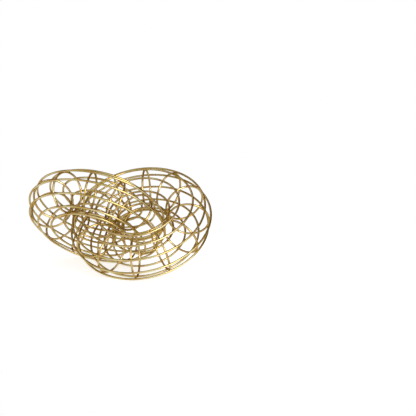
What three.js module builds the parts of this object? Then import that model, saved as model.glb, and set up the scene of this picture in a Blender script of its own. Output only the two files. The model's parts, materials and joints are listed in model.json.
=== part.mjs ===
// Chain sculpture: two ring-shaped links of welded wire, one passed through the other.
// They lie on a table as they settle, each leaning on its mate, one turned half a turn from the other.
// Millimetres, +Z up. The origin is on the table, in the middle between the two links,
// and +X runs from the left link's centre towards the right link's centre.

import * as THREE from 'three';

// Driving dimensions
const WIRE_DIAMETER = 3.4;
const TUBE_DIAMETER = 76; // of one link's tube, measured over its hoops
const HOLE_PLAY = 7.5; // a link's hole is this much wider than the tube passed through it
const WELD_GAP = 0.3; // between a hoop and the ribs that it is welded to
const REST_GAP = 0.4; // between the two links' wires where they lean on each other

// Counts round one link
const HOOP_COUNT = 10; // long rings, spaced evenly round the tube
const RIB_COUNT = 12; // small rings, spaced evenly along the tube

// How far each link is turned in its own plane
const RIGHT_TURN = THREE.MathUtils.degToRad(11);
const LEFT_TURN = THREE.MathUtils.degToRad(9);

// Facets: each weld falls on a corner of both of its wires
const WIRE_SIDES = 6;
const HOOP_STEPS = 3 * RIB_COUNT;
const RIB_STEPS = 2 * HOOP_COUNT;

// Finish
const GOLD = 0xb5a379;
const SATIN_ROUGHNESS = 0.35;
const BARE_METAL = 1;

// Search for the resting lean
const SQUARE_LEAN = THREE.MathUtils.degToRad(45); // both links lean this far when their planes are square
const LEAN_STEP = THREE.MathUtils.degToRad(0.02);
const POINTS_PER_HOOP = 180;

// Sizes that follow
const FULL_TURN = 2 * Math.PI;
const HALF_TURN = Math.PI;
const QUARTER_TURN = Math.PI / 2;
const wireRadius = WIRE_DIAMETER / 2;
const hoopOrbit = TUBE_DIAMETER / 2 - wireRadius; // from the tube's centre to a hoop's wire
const ribRadius = hoopOrbit - WIRE_DIAMETER - WELD_GAP; // ribs lie inside the hoops
const holeDiameter = TUBE_DIAMETER + HOLE_PLAY;
const ringRadius = (holeDiameter + TUBE_DIAMETER) / 2; // from a link's centre to its tube's centre
const centreDistance = ringRadius - HOLE_PLAY / 4; // the links have closed up by half of the play

// Each hoop's place round the tube, from the outer edge over the top
const hoops = Array.from({ length: HOOP_COUNT }, (_, index) => {
  const angle = (index / HOOP_COUNT) * FULL_TURN;
  return {
    angle,
    radius: ringRadius + hoopOrbit * Math.cos(angle),
    height: hoopOrbit * Math.sin(angle),
  };
});

// A closed ring of round wire about Z, with one corner of its section turned to face sectionTurn
function wireRing(radius, sectionTurn, steps) {
  const section = [];
  for (let side = 0; side <= WIRE_SIDES; side += 1) {
    const angle = sectionTurn + ((side % WIRE_SIDES) / WIRE_SIDES) * FULL_TURN;
    section.push(new THREE.Vector2(radius + wireRadius * Math.cos(angle), wireRadius * Math.sin(angle)));
  }
  return new THREE.LatheGeometry(section, steps).rotateX(QUARTER_TURN);
}

function goldWire(name, geometry) {
  const finish = new THREE.MeshStandardMaterial({
    color: GOLD,
    roughness: SATIN_ROUGHNESS,
    metalness: BARE_METAL,
  });
  const wire = new THREE.Mesh(geometry, finish);
  wire.name = name;
  return wire;
}

function numbered(name, index) {
  return `${name}_${String(index + 1).padStart(2, '0')}`;
}

function makeHoop(name, hoop) {
  const wire = goldWire(name, wireRing(hoop.radius, hoop.angle, HOOP_STEPS));
  wire.position.z = hoop.height;
  return wire;
}

// A rib stands square to the tube, on an arm from the link's centre
function makeRib(name, turn) {
  const wire = goldWire(name, wireRing(ribRadius, 0, RIB_STEPS));
  wire.position.x = ringRadius;
  wire.rotation.x = QUARTER_TURN;
  const arm = new THREE.Group();
  arm.rotation.z = turn;
  arm.add(wire);
  return arm;
}

// One link, flat about Z, turned in its own plane
function makeLink(name, turn) {
  const link = new THREE.Group();
  hoops.forEach((hoop, index) => {
    link.add(makeHoop(numbered(`${name}_hoop`, index), hoop));
  });
  for (let index = 0; index < RIB_COUNT; index += 1) {
    link.add(makeRib(numbered(`${name}_rib`, index), (index / RIB_COUNT) * FULL_TURN));
  }
  link.rotation.z = turn;
  return link;
}

// The least clearance between the hoops of the two links when both lean this far
function clearanceAt(lean) {
  const place = new THREE.Matrix4().makeRotationX(lean).setPosition(centreDistance / 2, 0, 0);
  const toMate = place.clone().invert();
  toMate.multiply(new THREE.Matrix4().makeRotationZ(HALF_TURN)).multiply(place);
  const point = new THREE.Vector3();
  let least = Infinity;
  for (const hoop of hoops) {
    for (let step = 0; step < POINTS_PER_HOOP; step += 1) {
      const angle = (step / POINTS_PER_HOOP) * FULL_TURN;
      point.set(hoop.radius * Math.cos(angle), hoop.radius * Math.sin(angle), hoop.height);
      point.applyMatrix4(toMate);
      const reach = Math.hypot(point.x, point.y);
      for (const mate of hoops) {
        least = Math.min(least, Math.hypot(reach - mate.radius, point.z - mate.height));
      }
    }
  }
  return least - WIRE_DIAMETER;
}

// The links sink from square until their wires meet
function restingLean() {
  let lean = SQUARE_LEAN;
  while (clearanceAt(lean - LEAN_STEP) >= REST_GAP) {
    lean -= LEAN_STEP;
  }
  return lean;
}

// A link in its resting place, or half a turn round from it about the middle of the pair
function placeLink(link, lean, turnAbout) {
  const leaning = new THREE.Group();
  leaning.rotation.x = lean;
  leaning.position.x = centreDistance / 2;
  leaning.add(link);
  const placed = new THREE.Group();
  placed.rotation.z = turnAbout;
  placed.add(leaning);
  return placed;
}

const lean = restingLean();
const sculpture = new THREE.Group();
sculpture.add(placeLink(makeLink('right_link', RIGHT_TURN), lean, 0));
sculpture.add(placeLink(makeLink('left_link', LEFT_TURN), lean, HALF_TURN));

// The lowest wires stand on the table
sculpture.position.z = -new THREE.Box3().setFromObject(sculpture, true).min.z;

export default sculpture;
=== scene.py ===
"""Chain sculpture: two ring-shaped links of welded gold wire, one passed through the other.

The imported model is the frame. Every wire in it gets a smooth round ring with a closing seam,
every crossing of a hoop and a rib gets its weld, and all of it a satin antique gold plating.
The links lie on a white table. Lengths are in metres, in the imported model's own frame.
"""

import json
import math
import random
from typing import NamedTuple

import bmesh
import bpy
import numpy as np
from bpy.props import FloatProperty, FloatVectorProperty, IntProperty, PointerProperty
from mathutils import Matrix, Vector

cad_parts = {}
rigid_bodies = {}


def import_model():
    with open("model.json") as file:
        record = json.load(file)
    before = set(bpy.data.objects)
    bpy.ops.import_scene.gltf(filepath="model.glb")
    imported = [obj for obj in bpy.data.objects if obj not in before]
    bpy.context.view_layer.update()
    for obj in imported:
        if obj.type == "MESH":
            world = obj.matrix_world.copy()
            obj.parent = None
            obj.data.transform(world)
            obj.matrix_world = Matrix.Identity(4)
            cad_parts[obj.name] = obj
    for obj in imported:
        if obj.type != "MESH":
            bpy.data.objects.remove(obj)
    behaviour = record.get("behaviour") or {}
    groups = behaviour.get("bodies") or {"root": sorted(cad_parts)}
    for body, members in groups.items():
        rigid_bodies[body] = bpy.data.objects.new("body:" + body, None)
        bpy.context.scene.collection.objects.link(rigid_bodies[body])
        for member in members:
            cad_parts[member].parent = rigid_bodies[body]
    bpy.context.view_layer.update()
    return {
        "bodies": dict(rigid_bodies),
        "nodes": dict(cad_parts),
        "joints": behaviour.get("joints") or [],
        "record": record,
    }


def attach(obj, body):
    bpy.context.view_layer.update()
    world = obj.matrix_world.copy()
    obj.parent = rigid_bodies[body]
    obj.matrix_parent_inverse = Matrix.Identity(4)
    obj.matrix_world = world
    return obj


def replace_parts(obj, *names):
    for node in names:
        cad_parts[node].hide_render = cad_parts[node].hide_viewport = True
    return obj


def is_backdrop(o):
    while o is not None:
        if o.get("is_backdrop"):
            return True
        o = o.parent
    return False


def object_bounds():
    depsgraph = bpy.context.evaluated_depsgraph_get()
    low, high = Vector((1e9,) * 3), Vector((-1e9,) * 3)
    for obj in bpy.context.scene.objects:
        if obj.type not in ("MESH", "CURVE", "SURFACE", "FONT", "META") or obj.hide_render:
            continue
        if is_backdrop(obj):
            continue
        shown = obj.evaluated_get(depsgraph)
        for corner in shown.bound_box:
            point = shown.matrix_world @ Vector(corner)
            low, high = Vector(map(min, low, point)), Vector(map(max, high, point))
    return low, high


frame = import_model()

bl_info = {
    "name": "Chain Sculpture",
    "version": (1, 0, 0),
    "blender": (4, 5, 0),
    "location": "3D View > Sidebar > Sculpture",
    "description": "Two linked rings of welded gold wire on a white table",
    "category": "Add Mesh",
}

FULL_TURN = 2 * math.pi
MILLIMETRES = 1000  # in a metre
WHITE = (1, 1, 1)

# Decimals that are kept of lengths and corners, in metres, and of angles, in turns
LENGTH_DECIMALS = 5
CORNER_DECIMALS = 6
ANGLE_DECIMALS = 7

# The picture is square, and its middle falls between two pixels
PICTURE_PIXELS = 416
PICTURE_MIDDLE = (PICTURE_PIXELS - 1) / 2
SENSOR_WIDTH = 0.036

# Names of the values that each wire carries on its surface for the plating to read
STRAIGHT_WIRE = "straight_wire"
# The painted shade: a brown that darkens the wires round the welds, where they cross
PAINTED_SHADE = "painted_shade"

# Neighbouring rings have their seams this many welds apart, and each seam has finer steps
SEAM_SPACING = 5
SEAM_STEPS = 9
SEAM_STEPS_REACH = 2  # to each side, in half widths of the seam

# A weld starts as a ball, is drawn in to the wires, and ends tucked just under their faces
WELD_DIVISIONS = 3
WELD_HALVINGS = 20
WELD_TUCK = 0.00002
WELD_FILLETS = (0.8, 1.0, 1.25)  # small, usual and large, as shares of the usual one
WELD_SEED = 11

# The studio
TABLE_RADIUS = 8
SURROUND_RADIUS = 4
ROUND_DIVISIONS = 64  # of the table and the surround
SOFTBOX_WIDTH = 0.95
SOFTBOX_DISTANCE = 2


class Softbox(NamedTuple):
    """A square lamp that faces the sculpture, and where it stands, in degrees."""

    name: str
    turn: float  # to the right of the camera
    rise: float  # above the level of the sculpture's middle
    brightness: float  # one looks as bright as white


SOFTBOXES = (
    Softbox("key_softbox", turn=30, rise=8, brightness=9),
    Softbox("side_softbox", turn=60, rise=32, brightness=2.5),
    Softbox("fill_softbox", turn=270, rise=8, brightness=1.2),
    Softbox("rim_softbox", turn=240, rise=58, brightness=1.2),
)


class Grain(NamedTuple):
    """A fine pattern in the plating, with so many cells to the metre, and its relief."""

    cells: float
    detail: float  # how finely the cells are divided
    strength: float = 0
    depth: float = 0


BRUSHED_LINES = Grain(cells=1800, detail=4, strength=0.3, depth=0.00003)
BRUSHED_STRETCH = 45  # brushed lines are this many times as long as they are wide
PALE_PATCHES = Grain(cells=18, detail=1)
PITS = Grain(cells=1500, detail=2, strength=0.2, depth=0.00003)
WELD_RIPPLES = Grain(cells=900, detail=3, strength=0.5, depth=0.00015)

# A pattern runs from zero to one and is mostly near a half. Between these values of it,
# gold turns pale in the patches, and polished turns satin across the brushed lines.
PALE_RANGE = (0.35, 0.65)
SATIN_RANGE = (0.3, 0.7)


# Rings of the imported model


class Ring(NamedTuple):
    """The circle that a wire follows, and the wire's own radius."""

    node: str
    centre: np.ndarray
    axis: np.ndarray
    radius: float
    wire_radius: float


class Crossing(NamedTuple):
    """Where a hoop lies on a rib: the middle of the weld and the directions there."""

    middle: np.ndarray
    along_hoop: np.ndarray
    along_rib: np.ndarray
    outward: np.ndarray


def unit(vector):
    """A vector of length one in the same direction."""
    return vector / np.linalg.norm(vector)


def square_to(axis, vector):
    """The part of a vector that is square to an axis."""
    return vector - (vector @ axis) * axis


def measured_ring(node):
    """The ring of a packed wire, measured from the wire's own corners."""
    corners = np.array([vertex.co for vertex in frame["nodes"][node].data.vertices])
    corners = np.unique(corners.round(CORNER_DECIMALS), axis=0)
    centre = corners.mean(axis=0)
    arms = corners - centre

    # The corners spread least along the axis, which points to the positive side
    axis = np.linalg.svd(arms, full_matrices=False)[2][-1]
    axis *= math.copysign(1, axis[np.abs(axis).argmax()])
    heights = arms @ axis
    reaches = np.linalg.norm(arms - np.outer(heights, axis), axis=1)
    radius = reaches.mean()
    wire_radius = np.hypot(reaches - radius, heights).max()
    return Ring(node, centre, axis, radius, wire_radius)


def measured_rings(body, kind):
    """All the rings of one kind in a link."""
    nodes = [node for node in frame["record"]["behaviour"]["bodies"][body] if f"_{kind}_" in node]
    return [measured_ring(node) for node in sorted(nodes)]


HOOPS = {body: measured_rings(body, "hoop") for body in frame["bodies"]}
RIBS = {body: measured_rings(body, "rib") for body in frame["bodies"]}
WIRE_DIAMETER = round(2 * HOOPS["right_link"][0].wire_radius, LENGTH_DECIMALS)
MIDDLE = Vector((0, 0, frame["joints"][0]["pos_m"][2]))  # of the pair of links


# What a user can change


class ChainSculptureSizes(bpy.types.PropertyGroup):
    """Sizes of the wire and its welds"""

    wire_diameter: FloatProperty(
        name="Wire diameter",
        description="Thickness of the round wire",
        default=WIRE_DIAMETER,
        unit="LENGTH",
        precision=LENGTH_DECIMALS,
    )
    wire_sides: IntProperty(
        name="Wire sides",
        description="Faces round the wire",
        default=12,
    )
    hoop_steps: IntProperty(
        name="Hoop steps",
        description="Faces along a hoop",
        default=240,
    )
    rib_steps: IntProperty(
        name="Rib steps",
        description="Faces along a rib",
        default=120,
    )
    weld_sink: FloatProperty(
        name="Weld sink",
        description="How far a hoop and a rib are pressed into each other where they are welded",
        default=0.00015,
        unit="LENGTH",
        precision=LENGTH_DECIMALS,
    )
    weld_fillet: FloatProperty(
        name="Weld fillet",
        description="Width of the run of metal in the corners of a weld",
        default=0.0012,
        unit="LENGTH",
        precision=LENGTH_DECIMALS,
    )
    weld_reach: FloatProperty(
        name="Weld reach",
        description="How far a weld runs along its wires, from the middle",
        default=0.0032,
        unit="LENGTH",
        precision=LENGTH_DECIMALS,
    )
    seam_width: FloatProperty(
        name="Seam width",
        description="Half width of the seam that closes each ring",
        default=0.0012,
        unit="LENGTH",
        precision=LENGTH_DECIMALS,
    )
    seam_swell: FloatProperty(
        name="Seam swell",
        description="How much the wire swells at its closing seam",
        default=0.07,
        subtype="FACTOR",
    )
    # Reach of the painted shade, a brown that darkens the wires round each weld
    painted_shade_reach: FloatProperty(
        name="Antique shade reach",
        description="How far the antique shade spreads from a weld over the wires",
        default=0.012,
        unit="LENGTH",
        precision=LENGTH_DECIMALS,
    )


class ChainSculptureFinish(bpy.types.PropertyGroup):
    """Colours and gloss of the plating"""

    gold: FloatVectorProperty(
        name="Gold",
        description="Main colour of the plating",
        default=(0.46, 0.36, 0.105),
        subtype="COLOR",
        min=0,
        max=1,
    )
    pale_gold: FloatVectorProperty(
        name="Pale gold",
        description="Colour where the plating is brushed bright",
        default=(0.65, 0.57, 0.31),
        subtype="COLOR",
        min=0,
        max=1,
    )
    # Brown of the painted shade round the welds
    painted_shade_brown: FloatVectorProperty(
        name="Antique brown",
        description="Colour of the antique shade on the wires round the welds",
        default=(0.4, 0.21, 0.035),
        subtype="COLOR",
        min=0,
        max=1,
    )
    # How strongly the painted shade browns the wires at a weld
    painted_shade_share: FloatProperty(
        name="Antique share",
        description="How much of the antique shade is left on the wires at a weld",
        default=0.5,
        subtype="FACTOR",
    )
    weld_brown: FloatVectorProperty(
        name="Weld brown",
        description="Colour in the hollows of the welds",
        default=(0.2, 0.12, 0.03),
        subtype="COLOR",
        min=0,
        max=1,
    )
    polished_roughness: FloatProperty(
        name="Polished roughness",
        description="Roughness along the brushed lines",
        default=0.16,
        subtype="FACTOR",
    )
    satin_roughness: FloatProperty(
        name="Satin roughness",
        description="Roughness between the brushed lines",
        default=0.28,
        subtype="FACTOR",
    )
    weld_roughness: FloatProperty(
        name="Weld roughness",
        description="Roughness in the hollows of the welds",
        default=0.6,
        subtype="FACTOR",
    )
    edge_tint: FloatVectorProperty(
        name="Edge tint",
        description="Tint of the metal where it is seen at a slant",
        default=(0.6, 0.45, 0.3),
        subtype="COLOR",
        min=0,
        max=1,
    )
    lacquer: FloatProperty(
        name="Lacquer",
        description="How much of the clear lacquer there is",
        default=0.2,
        subtype="FACTOR",
    )
    lacquer_roughness: FloatProperty(
        name="Lacquer roughness",
        description="Roughness of the clear lacquer",
        default=0.15,
        subtype="FACTOR",
    )


class ChainSculptureStage(bpy.types.PropertyGroup):
    """The table, the lamps and the camera"""

    table_colour: FloatVectorProperty(
        name="Table colour",
        description="Colour of the table top",
        default=(0.9, 0.9, 0.9),
        subtype="COLOR",
        min=0,
        max=1,
    )
    table_glow: FloatProperty(
        name="Table glow",
        description="How much whiter the table looks than it is lit, without any light from it",
        default=0.55,
        subtype="FACTOR",
    )
    white_from: FloatProperty(
        name="White from",
        description="How far from the middle the table starts to turn plain white",
        default=0.25,
        unit="LENGTH",
    )
    white_by: FloatProperty(
        name="White by",
        description="How far from the middle the table is plain white",
        default=0.6,
        unit="LENGTH",
    )
    room_light: FloatProperty(
        name="Room light",
        description="Light that comes from all sides",
        default=0.45,
        subtype="FACTOR",
    )
    surround_colour: FloatVectorProperty(
        name="Surround colour",
        description="Colour of the dark part of the studio, behind the sculpture and beside it",
        default=(0.2, 0.115, 0.02),
        subtype="COLOR",
        min=0,
        max=1,
    )
    surround_edge: FloatProperty(
        name="Surround edge",
        description="How far the dark part reaches in front of the sculpture, as a share of its radius",
        default=0.4,
        subtype="FACTOR",
        min=-1,
    )
    focal_length: FloatProperty(
        name="Focal length",
        description="Focal length of the lens",
        default=0.0822,
        unit="LENGTH",
        precision=LENGTH_DECIMALS,
    )
    camera_distance: FloatProperty(
        name="Camera distance",
        description="From the lens to the middle of the sculpture, along the view",
        default=1.5755,
        unit="LENGTH",
    )
    camera_turn: FloatProperty(
        name="Camera turn",
        description="How far the camera stands round to the right of the front",
        default=math.radians(15.8),
        unit="ROTATION",
    )
    camera_rise: FloatProperty(
        name="Camera rise",
        description="How far the camera looks down",
        default=math.radians(6.95),
        unit="ROTATION",
    )
    camera_roll: FloatProperty(
        name="Camera roll",
        description="How far the camera is tipped sideways",
        default=math.radians(2.92),
        unit="ROTATION",
    )
    middle_across: FloatProperty(
        name="Middle across",
        description="Where the middle of the sculpture falls in the picture, in pixels from the left",
        default=118.5,
    )
    middle_down: FloatProperty(
        name="Middle down",
        description="Where the middle of the sculpture falls in the picture, in pixels from the top",
        default=218.9,
    )


# Wires and welds


def wire_height(sizes):
    """How far the line of a wire lies from the middle of its weld."""
    return (sizes.wire_diameter - sizes.weld_sink) / 2


def crossing_of(hoop, rib, sizes):
    """The weld of a hoop on a rib."""
    arm = unit(square_to(hoop.axis, rib.centre - hoop.centre))
    on_hoop = hoop.centre + hoop.radius * arm
    outward = unit(on_hoop - rib.centre)
    along_hoop = np.cross(hoop.axis, arm)
    along_rib = np.cross(outward, along_hoop)
    middle = on_hoop - outward * wire_height(sizes)
    return Crossing(middle, along_hoop, along_rib, outward)


def seated_radius(rib, crossing, sizes):
    """The radius at which a rib is pressed into the hoops round it."""
    return np.linalg.norm(crossing.middle - rib.centre) - wire_height(sizes)


def step_angles(steps, seam_angle):
    """Even steps round a ring, with finer ones to both sides of the seam at angle zero."""
    even = np.arange(steps) / steps
    fine = np.linspace(-1, 1, SEAM_STEPS) * seam_angle / FULL_TURN
    return FULL_TURN * np.unique(np.concatenate([even, fine % 1]).round(ANGLE_DECIMALS))


def seam_side(ring, weld_middles, seam_span):
    """The direction from a ring's centre to its seam, which lies half way between two welds."""
    first = unit(square_to(ring.axis, weld_middles[0] - ring.centre))
    side = np.cross(ring.axis, first)
    turn = (seam_span + 0.5) / len(weld_middles) * FULL_TURN
    return math.cos(turn) * first + math.sin(turn) * side


def painted_shade_round_welds(points, weld_middles, sizes):
    """How strong the painted shade is on a wire: one at a weld, and less away from it."""
    to_welds = np.linalg.norm(points[:, :, None, :] - np.array(weld_middles), axis=3).min(axis=2)
    to_welds = np.maximum(to_welds - sizes.wire_diameter / 2, 0)
    return np.exp(-((to_welds / sizes.painted_shade_reach) ** 2))


def ring_faces(rows, columns):
    """Faces of a closed ring, whose corners stand in rows that go round the wire."""
    corner = np.arange(rows * columns).reshape(rows, columns)
    next_row = np.roll(corner, -1, axis=0)
    faces = np.stack([corner, next_row, np.roll(next_row, -1, axis=1), np.roll(corner, -1, axis=1)], axis=2)
    return faces.reshape(-1, 4)


def wire_mesh(ring, radius, steps, weld_middles, seam_span, sizes):
    """A closed ring of round wire that starts and ends in a seam."""
    seam = seam_side(ring, weld_middles, seam_span)
    beside_seam = np.cross(ring.axis, seam)
    angles = step_angles(steps, SEAM_STEPS_REACH * sizes.seam_width / radius)[:, None, None]
    around = (np.arange(sizes.wire_sides) / sizes.wire_sides * FULL_TURN)[None, :, None]

    from_seam = radius * np.minimum(angles, FULL_TURN - angles)
    swell = 1 + sizes.seam_swell * np.exp(-((from_seam / sizes.seam_width) ** 2))
    section = sizes.wire_diameter / 2 * swell
    along = radius * angles
    out = section * np.cos(around)
    up = section * np.sin(around)
    outward = np.cos(angles) * seam + np.sin(angles) * beside_seam
    points = ring.centre + (radius + out) * outward + up * ring.axis

    mesh = bpy.data.meshes.new(f"{ring.node}_wire")
    mesh.from_pydata(points.reshape(-1, 3), [], ring_faces(*points.shape[:2]))
    straight = np.concatenate(np.broadcast_arrays(along, out, up), axis=2)
    mesh.attributes.new(STRAIGHT_WIRE, "FLOAT_VECTOR", "POINT").data.foreach_set("vector", straight.ravel())
    # The painted shade round the welds, carried on the wire for the plating to turn brown
    shade = painted_shade_round_welds(points, weld_middles, sizes)
    mesh.attributes.new(PAINTED_SHADE, "FLOAT", "POINT").data.foreach_set("value", shade.ravel())
    mesh.shade_smooth()
    return mesh


def weld_distance(points, fillet, sizes):
    """How far points lie outside two crossed wires whose corners are filled by a run of metal."""
    along_hoop, along_rib, outward = points.T
    to_hoop = np.hypot(along_rib, outward - wire_height(sizes)) - sizes.wire_diameter / 2
    to_rib = np.hypot(along_hoop, outward + wire_height(sizes)) - sizes.wire_diameter / 2

    # Where both wires are near, a smooth minimum of the two distances fills the corner
    blend = np.maximum(fillet - np.abs(to_hoop - to_rib), 0) / fillet
    return np.minimum(to_hoop, to_rib) - blend**2 * fillet / 4


def face_depth(sizes):
    """How deep the middles of a wire's flat faces lie under its round surface."""
    return sizes.wire_diameter / 2 * (1 - math.cos(math.pi / sizes.wire_sides))


def weld_shape(fillet, sizes):
    """Corners and faces of one weld about its middle: X along the hoop, Y along the rib, Z outwards."""
    depth = face_depth(sizes) + WELD_TUCK
    ball = bmesh.new()
    bmesh.ops.create_icosphere(ball, subdivisions=WELD_DIVISIONS, radius=1)
    directions = np.array([corner.co for corner in ball.verts])
    faces = [[corner.index for corner in face.verts] for face in ball.faces]
    ball.free()

    # The surface is found in every direction at once, by halving the way that it lies in
    inner = np.zeros(len(directions))
    outer = np.full(len(directions), sizes.weld_reach)
    for _ in range(WELD_HALVINGS):
        middle = (inner + outer) / 2
        inside = weld_distance(directions * middle[:, None], fillet, sizes) < -depth
        inner = np.where(inside, middle, inner)
        outer = np.where(inside, outer, middle)
    return directions * inner[:, None], faces


def weld_mesh(name, crossings, shapes, chooser):
    """All the welds along one rib."""
    corners = []
    faces = []
    for crossing in crossings:
        shape, shape_faces = chooser.choice(shapes)
        axes = np.array([crossing.along_hoop, crossing.along_rib, crossing.outward])
        faces += [[len(corners) + index for index in face] for face in shape_faces]
        corners += (shape @ axes + crossing.middle).tolist()
    mesh = bpy.data.meshes.new(name)
    mesh.from_pydata(corners, [], faces)
    mesh.shade_smooth()
    return mesh


def add_piece(mesh, material, body):
    """Puts a mesh in the scene as a gold piece that moves with one of the links."""
    piece = bpy.data.objects.new(mesh.name, mesh)
    mesh.materials.append(material)
    bpy.context.scene.collection.objects.link(piece)
    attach(piece, body)
    return piece


# Plating


def new_material(name):
    """A material with no nodes yet."""
    material = bpy.data.materials.new(name)
    material.use_nodes = True
    material.node_tree.nodes.clear()
    return material


def opaque(colour):
    """A colour as a node's input takes it."""
    return (*colour, 1)


def feed(tree, socket, value):
    """Gives an input its value, which is a plain one or another node's output."""
    if isinstance(value, bpy.types.NodeSocket):
        tree.links.new(value, socket)
    else:
        socket.default_value = value


def add_node(tree, kind, **values):
    """A new node, with its settings and its inputs given by name."""
    node = tree.nodes.new(kind)
    for name, value in values.items():
        if name in node.bl_rna.properties:
            setattr(node, name, value)
        else:
            feed(tree, node.inputs[name.replace("_", " ")], value)
    return node


def calculate(tree, operation, first, second):
    """A sum, a product or the like of two values."""
    node = add_node(tree, "ShaderNodeMath", operation=operation)
    feed(tree, node.inputs[0], first)
    feed(tree, node.inputs[1], second)
    return node.outputs["Value"]


def mix_colours(tree, factor, first, second):
    """The first colour where the factor is zero, and the second where it is one."""
    mix = add_node(tree, "ShaderNodeMix", data_type="RGBA")
    sockets = {socket.identifier: socket for socket in (*mix.inputs, *mix.outputs)}
    feed(tree, sockets["Factor_Float"], factor)
    feed(tree, sockets["A_Color"], first)
    feed(tree, sockets["B_Color"], second)
    return sockets["Result_Color"]


def mix_shaders(tree, factor, first, second):
    """The first shader where the factor is zero, and the second where it is one."""
    mix = add_node(tree, "ShaderNodeMixShader", Fac=factor)
    tree.links.new(first, mix.inputs[1])
    tree.links.new(second, mix.inputs[2])
    return mix.outputs["Shader"]


def add_range(tree, value, start, end, **values):
    """A value that is moved from one range to another, which is zero to one unless it is given."""
    moved = add_node(tree, "ShaderNodeMapRange", Value=value, From_Min=start, From_Max=end, **values)
    return moved.outputs["Result"]


def add_noise(tree, places, grain):
    """The pattern of a grain over a surface."""
    noise = add_node(tree, "ShaderNodeTexNoise", Vector=places, Scale=grain.cells, Detail=grain.detail)
    return noise.outputs["Fac"]


def add_relief(tree, height, grain, **values):
    """The slopes of a grain's fine relief."""
    bump = add_node(
        tree, "ShaderNodeBump", Height=height, Strength=grain.strength, Distance=grain.depth, **values
    )
    return bump.outputs["Normal"]


def add_plating(tree, finish, colour, roughness, normal):
    """Metal under clear lacquer, as the surface of a material."""
    metal = add_node(
        tree,
        "ShaderNodeBsdfPrincipled",
        Base_Color=colour,
        Metallic=1,
        Roughness=roughness,
        Normal=normal,
        Specular_Tint=opaque(finish.edge_tint),
        Coat_Weight=finish.lacquer,
        Coat_Roughness=finish.lacquer_roughness,
    )
    add_node(tree, "ShaderNodeOutputMaterial", Surface=metal.outputs["BSDF"])


def antique_gold(name, finish):
    """Satin antique gold plating on drawn wire: brushed along the wire, with a brown painted shade round
    the welds.
    """
    material = new_material(name)
    tree = material.node_tree
    straight = add_node(tree, "ShaderNodeAttribute", attribute_name=STRAIGHT_WIRE).outputs["Vector"]
    along = add_node(tree, "ShaderNodeMapping", Vector=straight, Scale=(1 / BRUSHED_STRETCH, 1, 1))
    brushed = add_noise(tree, along.outputs["Vector"], BRUSHED_LINES)
    places = add_node(tree, "ShaderNodeTexCoord").outputs["Object"]
    patches = add_noise(tree, places, PALE_PATCHES)
    pits = add_noise(tree, places, PITS)

    pale = add_range(tree, patches, *PALE_RANGE)
    plain = mix_colours(tree, pale, opaque(finish.gold), opaque(finish.pale_gold))
    # Painted shade: the wires are mixed towards brown round the welds, where they cross
    shade = add_node(tree, "ShaderNodeAttribute", attribute_name=PAINTED_SHADE).outputs["Fac"]
    brown = calculate(tree, "MULTIPLY", shade, finish.painted_shade_share)
    colour = mix_colours(tree, brown, plain, opaque(finish.painted_shade_brown))
    gloss = add_range(
        tree, brushed, *SATIN_RANGE, To_Min=finish.polished_roughness, To_Max=finish.satin_roughness
    )
    lines = add_relief(tree, brushed, BRUSHED_LINES)
    relief = add_relief(tree, pits, PITS, Normal=lines)
    add_plating(tree, finish, colour, gloss, relief)
    return material


def weld_gold(name, finish):
    """The same plating over a weld, rougher and browner in its hollows."""
    material = new_material(name)
    tree = material.node_tree
    places = add_node(tree, "ShaderNodeTexCoord").outputs["Object"]
    ripples = add_noise(tree, places, WELD_RIPPLES)
    colour = mix_colours(tree, ripples, opaque(finish.gold), opaque(finish.weld_brown))
    gloss = add_range(tree, ripples, 0, 1, To_Min=finish.satin_roughness, To_Max=finish.weld_roughness)
    relief = add_relief(tree, ripples, WELD_RIPPLES)
    add_plating(tree, finish, colour, gloss, relief)
    return material


def made_once(make, name, finish):
    """A material by name, made if it isn't there yet."""
    return bpy.data.materials.get(name) or make(name, finish)


# Stage


def direction(turn, rise):
    """The direction that lies so far round to the right of the front, and so far up."""
    return Vector((math.sin(turn) * math.cos(rise), -math.cos(turn) * math.cos(rise), math.sin(rise)))


def is_seen(tree):
    """One for what the camera, the metal and clear things see, and zero for other light."""
    path = add_node(tree, "ShaderNodeLightPath")
    seen = path.outputs["Is Camera Ray"]
    for other in ("Is Glossy Ray", "Is Transmission Ray"):
        seen = calculate(tree, "MAXIMUM", seen, path.outputs[other])
    return seen


def make_room(stage):
    """The world: white to look at, with a softer light of its own."""
    world = bpy.data.worlds.new("white_room")
    world.use_nodes = True
    tree = world.node_tree
    tree.nodes.clear()
    light = add_node(tree, "ShaderNodeBackground", Color=opaque(WHITE), Strength=stage.room_light)
    white = add_node(tree, "ShaderNodeBackground", Color=opaque(WHITE), Strength=1)
    room = mix_shaders(tree, is_seen(tree), light.outputs["Background"], white.outputs["Background"])
    add_node(tree, "ShaderNodeOutputWorld", Surface=room)
    bpy.context.scene.world = world


def white_table(stage):
    """A white surface that keeps the shadow under the sculpture and is plain white further out."""
    material = new_material("white_table")
    tree = material.node_tree
    seen = is_seen(tree)
    surface = add_node(tree, "ShaderNodeBsdfDiffuse", Color=opaque(stage.table_colour))
    seen_glow = calculate(tree, "MULTIPLY", seen, stage.table_glow)
    glow = add_node(tree, "ShaderNodeEmission", Strength=seen_glow)
    near = add_node(tree, "ShaderNodeAddShader")
    tree.links.new(surface.outputs["BSDF"], near.inputs[0])
    tree.links.new(glow.outputs["Emission"], near.inputs[1])
    white = add_node(tree, "ShaderNodeEmission", Strength=1)

    places = add_node(tree, "ShaderNodeTexCoord").outputs["Object"]
    reach = add_node(tree, "ShaderNodeVectorMath", operation="LENGTH", Vector=places).outputs["Value"]
    far = add_range(tree, reach, stage.white_from, stage.white_by, interpolation_type="SMOOTHSTEP")
    seen_far = calculate(tree, "MULTIPLY", seen, far)
    table = mix_shaders(tree, seen_far, near.outputs["Shader"], white.outputs["Emission"])
    add_node(tree, "ShaderNodeOutputMaterial", Surface=table)
    return material


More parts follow.
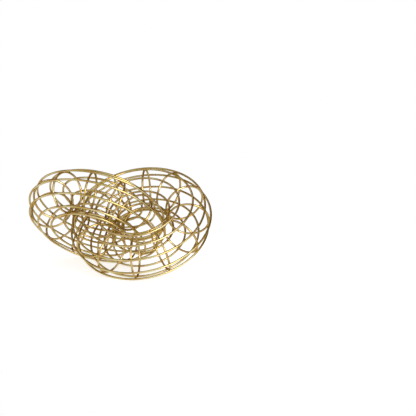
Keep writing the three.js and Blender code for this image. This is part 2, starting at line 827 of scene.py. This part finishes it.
def dark_surround(stage):
    """A dark surface with no shadows on it."""
    material = new_material("dark_surround")
    tree = material.node_tree
    dark = add_node(tree, "ShaderNodeEmission", Color=opaque(stage.surround_colour), Strength=1)
    add_node(tree, "ShaderNodeOutputMaterial", Surface=dark.outputs["Emission"])
    return material


def add_to_stage(name, shape, material):
    """Puts a shape on the stage, where it is no part of the sculpture."""
    mesh = bpy.data.meshes.new(name)
    shape.to_mesh(mesh)
    shape.free()
    mesh.materials.append(material)
    prop = bpy.data.objects.new(name, mesh)
    bpy.context.scene.collection.objects.link(prop)
    prop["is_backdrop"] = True
    return prop


def add_table(stage):
    """A round table top, wide enough to run out of every view."""
    disc = bmesh.new()
    bmesh.ops.create_circle(disc, cap_ends=True, segments=ROUND_DIVISIONS, radius=TABLE_RADIUS)
    table = add_to_stage("table", disc, white_table(stage))
    table.location.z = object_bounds()[0].z


def add_softbox(softbox, stage):
    """A square lamp that faces the sculpture."""
    light = bpy.data.lights.new(softbox.name, "AREA")
    light.size = SOFTBOX_WIDTH
    light.energy = softbox.brightness * math.pi * SOFTBOX_WIDTH**2  # a flat lamp's power
    lamp = bpy.data.objects.new(softbox.name, light)
    towards = direction(stage.camera_turn + math.radians(softbox.turn), math.radians(softbox.rise))
    lamp.location = MIDDLE + SOFTBOX_DISTANCE * towards
    lamp.rotation_euler = towards.to_track_quat("Z", "Y").to_euler()
    lamp.visible_camera = False
    bpy.context.scene.collection.objects.link(lamp)


def add_dark_surround(stage):
    """The dark part of the studio, behind the sculpture and beside it, which only shows in the metal."""
    dome = bmesh.new()
    bmesh.ops.create_uvsphere(
        dome, u_segments=ROUND_DIVISIONS, v_segments=ROUND_DIVISIONS // 2, radius=SURROUND_RADIUS
    )
    front = direction(stage.camera_turn, 0)
    reach = SURROUND_RADIUS * stage.surround_edge
    in_front = [corner for corner in dome.verts if corner.co @ front > reach]
    bmesh.ops.delete(dome, geom=in_front, context="VERTS")
    surround = add_to_stage("dark_surround", dome, dark_surround(stage))
    surround.visible_camera = False
    surround.visible_diffuse = False
    surround.visible_shadow = False


def add_camera(stage):
    """A camera that sees the sculpture as photographed."""
    turn, roll = stage.camera_turn, stage.camera_roll
    back = direction(turn, stage.camera_rise)
    level = Vector((math.cos(turn), math.sin(turn), 0))
    upright = back.cross(level)
    right = level * math.cos(roll) + upright * math.sin(roll)
    up = upright * math.cos(roll) - level * math.sin(roll)

    # The camera is moved sideways by pixels that are measured at the sculpture
    pixel = SENSOR_WIDTH / PICTURE_PIXELS / stage.focal_length * stage.camera_distance
    place = MIDDLE + back * stage.camera_distance
    place -= right * (stage.middle_across - PICTURE_MIDDLE) * pixel
    place += up * (stage.middle_down - PICTURE_MIDDLE) * pixel

    lens = bpy.data.cameras.new("camera")
    lens.sensor_width = MILLIMETRES * SENSOR_WIDTH
    lens.lens = MILLIMETRES * stage.focal_length
    camera = bpy.data.objects.new("camera", lens)
    axes = Matrix((right, up, back)).transposed().to_4x4()
    camera.matrix_world = Matrix.Translation(place) @ axes
    bpy.context.scene.collection.objects.link(camera)
    bpy.context.scene.camera = camera


# Operators


class CHAIN_SCULPTURE_OT_make_hoops(bpy.types.Operator):
    """Make the long rings that run round each link"""

    bl_idname = "chain_sculpture.make_hoops"
    bl_label = "Make hoops"

    def execute(self, context):
        sizes = context.scene.chain_sizes
        gold = made_once(antique_gold, "antique_gold", context.scene.chain_finish)
        for body, hoops in HOOPS.items():
            for index, hoop in enumerate(hoops):
                middles = [crossing_of(hoop, rib, sizes).middle for rib in RIBS[body]]
                span = SEAM_SPACING * index
                mesh = wire_mesh(hoop, hoop.radius, sizes.hoop_steps, middles, span, sizes)
                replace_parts(add_piece(mesh, gold, body), hoop.node)
        return {"FINISHED"}


class CHAIN_SCULPTURE_OT_make_ribs(bpy.types.Operator):
    """Make the small rings that stand across each link's tube"""

    bl_idname = "chain_sculpture.make_ribs"
    bl_label = "Make ribs"

    def execute(self, context):
        sizes = context.scene.chain_sizes
        gold = made_once(antique_gold, "antique_gold", context.scene.chain_finish)
        for body, ribs in RIBS.items():
            for index, rib in enumerate(ribs):
                crossings = [crossing_of(hoop, rib, sizes) for hoop in HOOPS[body]]
                middles = [crossing.middle for crossing in crossings]
                radius = seated_radius(rib, crossings[0], sizes)
                span = SEAM_SPACING * index
                mesh = wire_mesh(rib, radius, sizes.rib_steps, middles, span, sizes)
                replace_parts(add_piece(mesh, gold, body), rib.node)
        return {"FINISHED"}


class CHAIN_SCULPTURE_OT_make_welds(bpy.types.Operator):
    """Make the welds where the hoops cross the ribs"""

    bl_idname = "chain_sculpture.make_welds"
    bl_label = "Make welds"

    def execute(self, context):
        sizes = context.scene.chain_sizes
        gold = made_once(weld_gold, "weld_gold", context.scene.chain_finish)
        shapes = [weld_shape(share * sizes.weld_fillet, sizes) for share in WELD_FILLETS]
        chooser = random.Random(WELD_SEED)
        for body, ribs in RIBS.items():
            for rib in ribs:
                crossings = [crossing_of(hoop, rib, sizes) for hoop in HOOPS[body]]
                add_piece(weld_mesh(f"{rib.node}_welds", crossings, shapes, chooser), gold, body)
        return {"FINISHED"}


class CHAIN_SCULPTURE_OT_make_stage(bpy.types.Operator):
    """Set the table, the lamps and the camera"""

    bl_idname = "chain_sculpture.make_stage"
    bl_label = "Make stage"

    def execute(self, context):
        stage = context.scene.chain_stage
        context.scene.view_settings.view_transform = "Standard"
        make_room(stage)
        add_table(stage)
        for softbox in SOFTBOXES:
            add_softbox(softbox, stage)
        add_dark_surround(stage)
        add_camera(stage)
        return {"FINISHED"}


class CHAIN_SCULPTURE_PT_panel(bpy.types.Panel):
    """Sidebar panel of the sculpture"""

    bl_idname = "CHAIN_SCULPTURE_PT_panel"
    bl_label = "Chain Sculpture"
    bl_space_type = "VIEW_3D"
    bl_region_type = "UI"
    bl_category = "Sculpture"

    def draw(self, context):
        for name, group in GROUPS.items():
            for value in group.__annotations__:
                self.layout.prop(getattr(context.scene, name), value)
        for operator in OPERATORS:
            self.layout.operator(operator.bl_idname)


GROUPS = {
    "chain_sizes": ChainSculptureSizes,
    "chain_finish": ChainSculptureFinish,
    "chain_stage": ChainSculptureStage,
}
OPERATORS = (
    CHAIN_SCULPTURE_OT_make_hoops,
    CHAIN_SCULPTURE_OT_make_ribs,
    CHAIN_SCULPTURE_OT_make_welds,
    CHAIN_SCULPTURE_OT_make_stage,
)


def register():
    for name, group in GROUPS.items():
        bpy.utils.register_class(group)
        setattr(bpy.types.Scene, name, PointerProperty(type=group))
    for operator in OPERATORS:
        bpy.utils.register_class(operator)
    bpy.utils.register_class(CHAIN_SCULPTURE_PT_panel)


def unregister():
    bpy.utils.unregister_class(CHAIN_SCULPTURE_PT_panel)
    for operator in reversed(OPERATORS):
        bpy.utils.unregister_class(operator)
    for name, group in GROUPS.items():
        delattr(bpy.types.Scene, name)
        bpy.utils.unregister_class(group)


def main():
    """Makes the sculpture on its table."""
    register()
    bpy.ops.chain_sculpture.make_hoops()
    bpy.ops.chain_sculpture.make_ribs()
    bpy.ops.chain_sculpture.make_welds()
    bpy.ops.chain_sculpture.make_stage()


if __name__ == "__main__":
    main()
